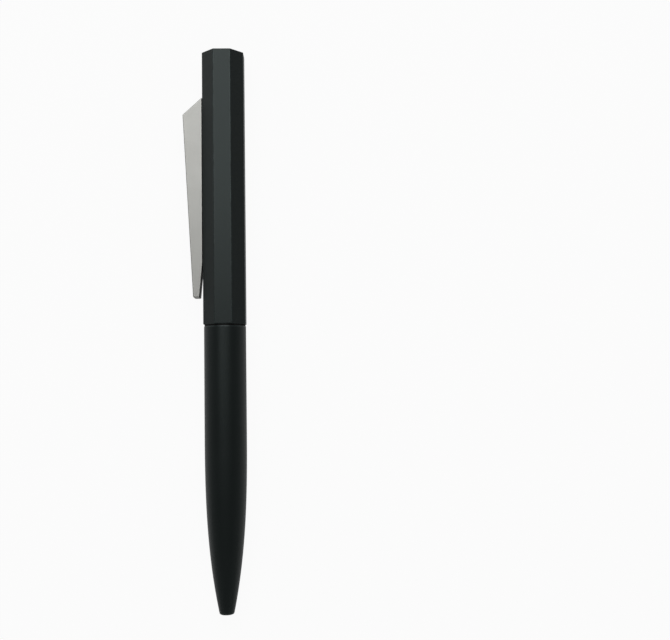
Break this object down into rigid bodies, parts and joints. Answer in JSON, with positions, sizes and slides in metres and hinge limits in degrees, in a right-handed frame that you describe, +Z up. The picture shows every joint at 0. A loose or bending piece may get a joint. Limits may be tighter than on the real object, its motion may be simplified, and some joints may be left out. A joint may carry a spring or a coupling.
{
  "type": "twist ballpoint pen",
  "caption": "Twist ballpoint pen with an octagonal upper barrel, a round tapered lower barrel, a wedge-shaped sprung clip and a helical cam that pushes the refill out of the nose.",
  "frame": {"origin": "centre of the facet of the upper barrel that the pen lies on", "axes": "+Y along the pen towards its top end, -Y towards the nose, +Z up from the resting facet, -X towards the clip"},
  "size_m": [0.0152, 0.1379, 0.0103],
  "materials": {
    "black_anodised": "black anodised, fine bead-blasted satin",
    "satin_nickel": "satin nickel plate",
    "dark_slip": "dark low-friction plastic",
    "white_acetal": "natural acetal, moulded",
    "grey_acetal": "dark grey acetal, moulded",
    "brass": "turned brass",
    "spring_steel": "bright spring steel",
    "refill_steel": "drawn steel tube",
    "nickel_silver": "turned nickel silver",
    "carbide": "polished carbide",
    "rubber": "moulded nitrile"
  },
  "bodies": {
    "upper": {"upper_barrel": "black_anodised", "end_plug": "black_anodised", "clip_carrier": "grey_acetal", "clip_pin": "spring_steel", "clip_spring": "spring_steel", "cam_sleeve": "white_acetal", "thrust_washer": "spring_steel"},
    "clip": {"clip": "satin_nickel"},
    "lower": {"lower_barrel": "black_anodised", "slip_ring": "dark_slip", "thread_bush": "brass", "threaded_stub": "brass", "drag_ring": "rubber", "guide_tube": "white_acetal", "retaining_ring": "spring_steel", "return_spring": "spring_steel"},
    "refill": {"plunger": "grey_acetal", "drive_pin": "spring_steel", "refill_tube": "refill_steel", "refill_point": "nickel_silver"},
    "ball": {"writing_ball": "carbide"}
  },
  "joints": [
    {"name": "twist", "type": "hinge", "parent": "upper", "child": "lower", "pos_m": [0, -0.03415, 0.00515], "axis": [0, 1, 0], "range_deg": [0, 180]},
    {"name": "refill_slide", "type": "slide", "parent": "lower", "child": "refill", "axis": [0, -1, 0], "range_m": [0, 0.0052], "deforming": ["return_spring"]},
    {"name": "clip_pivot", "type": "hinge", "parent": "upper", "child": "clip", "pos_m": [-0.0022, 0.02255, 0.00515], "axis": [0, 0, -1], "range_deg": [0, 6], "stiffness_Nm_per_rad": 0.5, "springref_deg": -0.57, "deforming": ["clip_spring"]},
    {"name": "ball_roll", "type": "hinge", "parent": "refill", "child": "ball", "pos_m": [0, -0.10265, 0.00515], "axis": [1, 0, 0], "continuous": true}
  ],
  "couplings": [
    {"joint": "twist", "follows": "refill_slide", "rad_per_m": 604.15}
  ]
}
